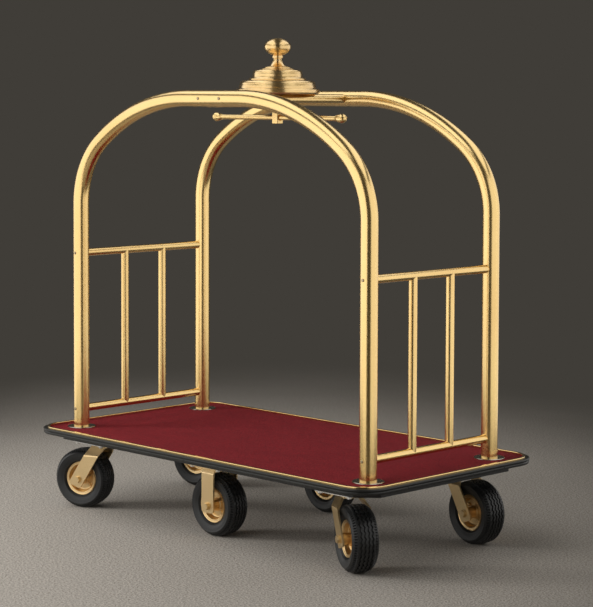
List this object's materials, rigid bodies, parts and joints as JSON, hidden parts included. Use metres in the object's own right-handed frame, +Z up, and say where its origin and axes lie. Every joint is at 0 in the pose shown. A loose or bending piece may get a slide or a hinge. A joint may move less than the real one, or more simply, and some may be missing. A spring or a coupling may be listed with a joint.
{
  "type": "hotel luggage cart",
  "caption": "Birdcage hotel luggage cart: carpeted deck with rubber bumper, brass arches, end rails, stepped crown and hanger bar, on pneumatic swivel and rigid casters.",
  "frame": {"origin": "on the floor, under the middle of the deck", "axes": "+X along the deck toward the right end, +Y across the deck toward the rear arch, +Z up"},
  "size_m": [1.4756, 0.7722, 1.5038],
  "materials": {
    "satin_brass": "satin brushed along the tubes",
    "turned_brass": "spun and turned, satin with fine rings",
    "polished_brass": "polished",
    "gold_plated_steel": "yellow plated, satin",
    "gold_painted_rim": "gold paint, satin",
    "zinc_steel": "zinc plated",
    "screw_metal": "brass plated steel",
    "black_plywood": "black painted plywood",
    "black_screws": "blackened steel",
    "polished_steel": "polished nickel",
    "bumper_rubber": "extruded black rubber, semi-matt",
    "tyre_rubber": "moulded black rubber",
    "carpet": "burgundy cut pile",
    "plywood": "sealed plywood"
  },
  "bodies": {
    "cart": {"deck_board": "plywood", "carpet": "carpet", "edge_trim": "polished_brass", "bumper": "bumper_rubber", "bumper_screws": "black_screws", "underframe": "black_plywood", "front_arch": "satin_brass", "rear_arch": "satin_brass", "post_flanges": "polished_steel", "post_bolts": "zinc_steel", "left_upper_rail": "satin_brass", "left_lower_rail": "satin_brass", "left_front_baluster": "satin_brass", "left_rear_baluster": "satin_brass", "right_upper_rail": "satin_brass", "right_lower_rail": "satin_brass", "right_front_baluster": "satin_brass", "right_rear_baluster": "satin_brass", "rail_screws": "screw_metal", "cross_member": "satin_brass", "cross_screws": "screw_metal", "crown_dome": "turned_brass", "crown_ball": "turned_brass", "crown_stud": "zinc_steel", "hanger_post": "turned_brass", "hanger_bar": "turned_brass", "bar_knob_left": "turned_brass", "bar_knob_right": "turned_brass", "kingpins": "zinc_steel", "caster_bolts": "zinc_steel", "caster_plate_fl": "gold_plated_steel", "caster_plate_fr": "gold_plated_steel", "caster_plate_rl": "gold_plated_steel", "caster_plate_rr": "gold_plated_steel", "fork_mf": "gold_plated_steel", "fork_mr": "gold_plated_steel", "axle_mf": "zinc_steel", "axle_mr": "zinc_steel"},
    "swivel_fl": {"fork_fl": "gold_plated_steel", "axle_fl": "zinc_steel"},
    "wheel_fl": {"rim_fl": "gold_painted_rim", "tyre_fl": "tyre_rubber"},
    "swivel_fr": {"fork_fr": "gold_plated_steel", "axle_fr": "zinc_steel"},
    "wheel_fr": {"rim_fr": "gold_painted_rim", "tyre_fr": "tyre_rubber"},
    "swivel_rl": {"fork_rl": "gold_plated_steel", "axle_rl": "zinc_steel"},
    "wheel_rl": {"rim_rl": "gold_painted_rim", "tyre_rl": "tyre_rubber"},
    "swivel_rr": {"fork_rr": "gold_plated_steel", "axle_rr": "zinc_steel"},
    "wheel_rr": {"rim_rr": "gold_painted_rim", "tyre_rr": "tyre_rubber"},
    "wheel_mf": {"rim_mf": "gold_painted_rim", "tyre_mf": "tyre_rubber"},
    "wheel_mr": {"rim_mr": "gold_painted_rim", "tyre_mr": "tyre_rubber"}
  },
  "joints": [
    {"name": "swivel_fl", "type": "hinge", "parent": "cart", "child": "swivel_fl", "pos_m": [-0.545, -0.245, 0.206], "axis": [0, 0, 1], "continuous": true},
    {"name": "wheel_fl_spin", "type": "hinge", "parent": "swivel_fl", "child": "wheel_fl", "pos_m": [-0.60848, -0.26937, 0.095], "axis": [0.3584, -0.9336, 0], "continuous": true},
    {"name": "swivel_fr", "type": "hinge", "parent": "cart", "child": "swivel_fr", "pos_m": [0.545, -0.245, 0.206], "axis": [0, 0, 1], "continuous": true},
    {"name": "wheel_fr_spin", "type": "hinge", "parent": "swivel_fr", "child": "wheel_fr", "pos_m": [0.60504, -0.27692, 0.095], "axis": [0.4695, 0.8829, 0], "continuous": true},
    {"name": "swivel_rl", "type": "hinge", "parent": "cart", "child": "swivel_rl", "pos_m": [-0.545, 0.245, 0.206], "axis": [0, 0, 1], "continuous": true},
    {"name": "wheel_rl_spin", "type": "hinge", "parent": "swivel_rl", "child": "wheel_rl", "pos_m": [-0.61151, 0.23086, 0.095], "axis": [0.2079, -0.9781, 0], "continuous": true},
    {"name": "swivel_rr", "type": "hinge", "parent": "cart", "child": "swivel_rr", "pos_m": [0.545, 0.245, 0.206], "axis": [0, 0, 1], "continuous": true},
    {"name": "wheel_rr_spin", "type": "hinge", "parent": "swivel_rr", "child": "wheel_rr", "pos_m": [0.61216, 0.23436, 0.095], "axis": [0.1564, 0.9877, 0], "continuous": true},
    {"name": "wheel_mf_spin", "type": "hinge", "parent": "cart", "child": "wheel_mf", "pos_m": [0, -0.24, 0.095], "axis": [0, 1, 0], "continuous": true},
    {"name": "wheel_mr_spin", "type": "hinge", "parent": "cart", "child": "wheel_mr", "pos_m": [0, 0.24, 0.095], "axis": [0, 1, 0], "continuous": true}
  ]
}
